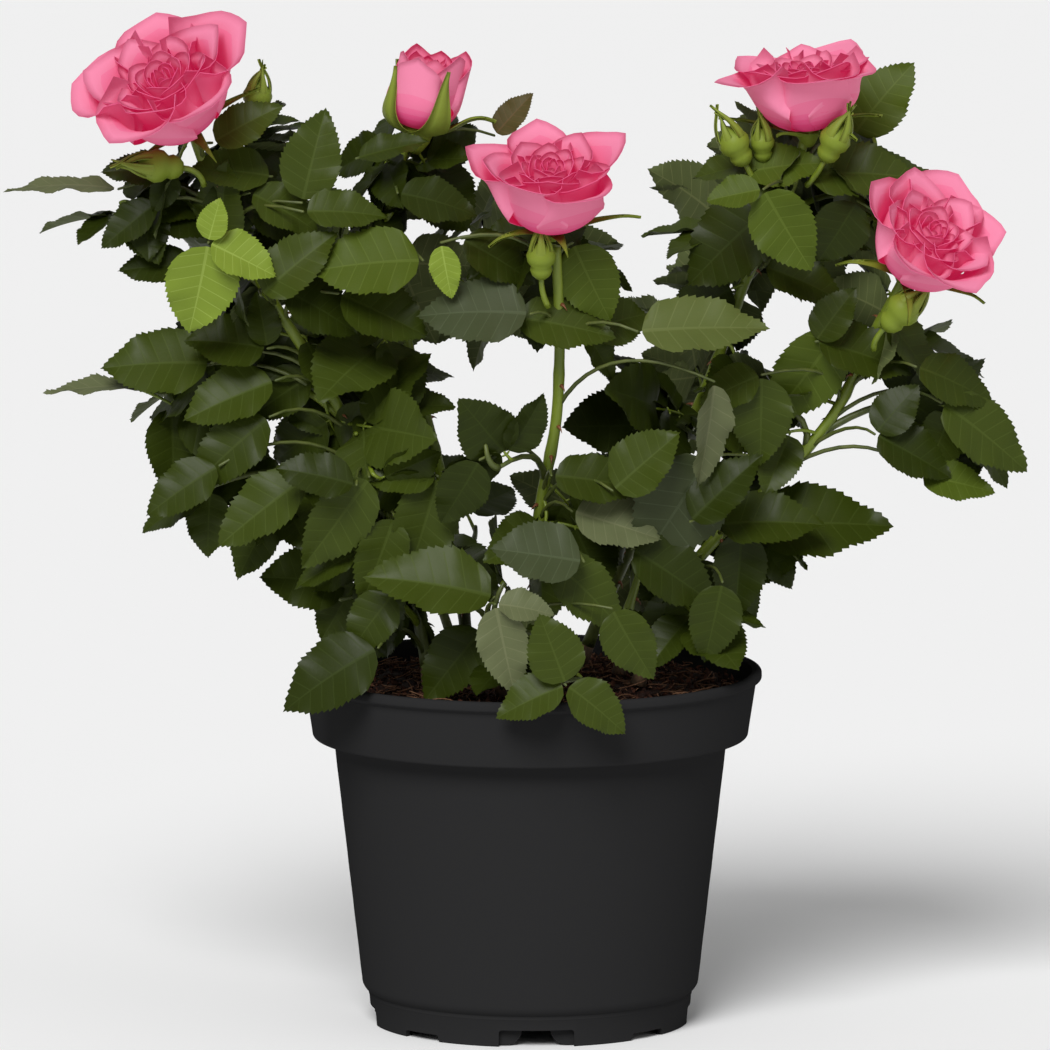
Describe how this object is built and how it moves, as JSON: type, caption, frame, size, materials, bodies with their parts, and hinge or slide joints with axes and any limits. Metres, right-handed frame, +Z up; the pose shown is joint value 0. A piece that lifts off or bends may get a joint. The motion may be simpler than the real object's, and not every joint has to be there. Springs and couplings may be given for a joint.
{
  "type": "potted miniature rose bush",
  "caption": "Miniature pink rose bush with upright leafy canes, open blooms and a half-open bud, growing in a round black plastic nursery pot.",
  "frame": {"origin": "centre of the pot's underside, on the pot's axis, at the level that it stands on", "axes": "+Z up along the pot's axis, +X to the right and -Y towards the viewer, as seen from the plant's broad, flowering front"},
  "size_m": [0.2885, 0.174, 0.2876],
  "materials": {
    "pot": "satin black",
    "soil": "rough, fibrous peat",
    "cane": "smooth green bark with prickles",
    "dead_cane": "dry brown bark",
    "leaf": "glossy dark green leaf",
    "petal": "velvety pink petal"
  },
  "bodies": {
    "root": {"bloom_centre": "petal", "bloom_far_right": "petal", "bloom_half_open": "petal", "bloom_left": "petal", "bloom_right": "petal", "cane_back_left": "cane", "cane_back_right": "cane", "cane_centre": "cane", "cane_far_right": "cane", "cane_front": "cane", "cane_left": "cane", "cane_left_bud": "cane", "cane_right": "cane", "cane_stub": "dead_cane", "foliage_back_left": "leaf", "foliage_back_low": "leaf", "foliage_back_right": "leaf", "foliage_back_top": "leaf", "foliage_centre_left": "leaf", "foliage_centre_mid": "leaf", "foliage_centre_right": "leaf", "foliage_far_right": "leaf", "foliage_front_low": "leaf", "foliage_left_back_top": "leaf", "foliage_left_inner_top": "leaf", "foliage_left_low": "leaf", "foliage_left_mid": "leaf", "foliage_left_top": "leaf", "foliage_low_centre": "leaf", "foliage_low_left": "leaf", "foliage_low_right": "leaf", "foliage_right_back_top": "leaf", "foliage_right_crown": "leaf", "foliage_right_low": "leaf", "foliage_right_mid": "leaf", "foliage_right_outer": "leaf", "foliage_right_top": "leaf", "foliage_upper_centre": "leaf", "pot": "pot", "soil": "soil"}
  },
  "joints": []
}
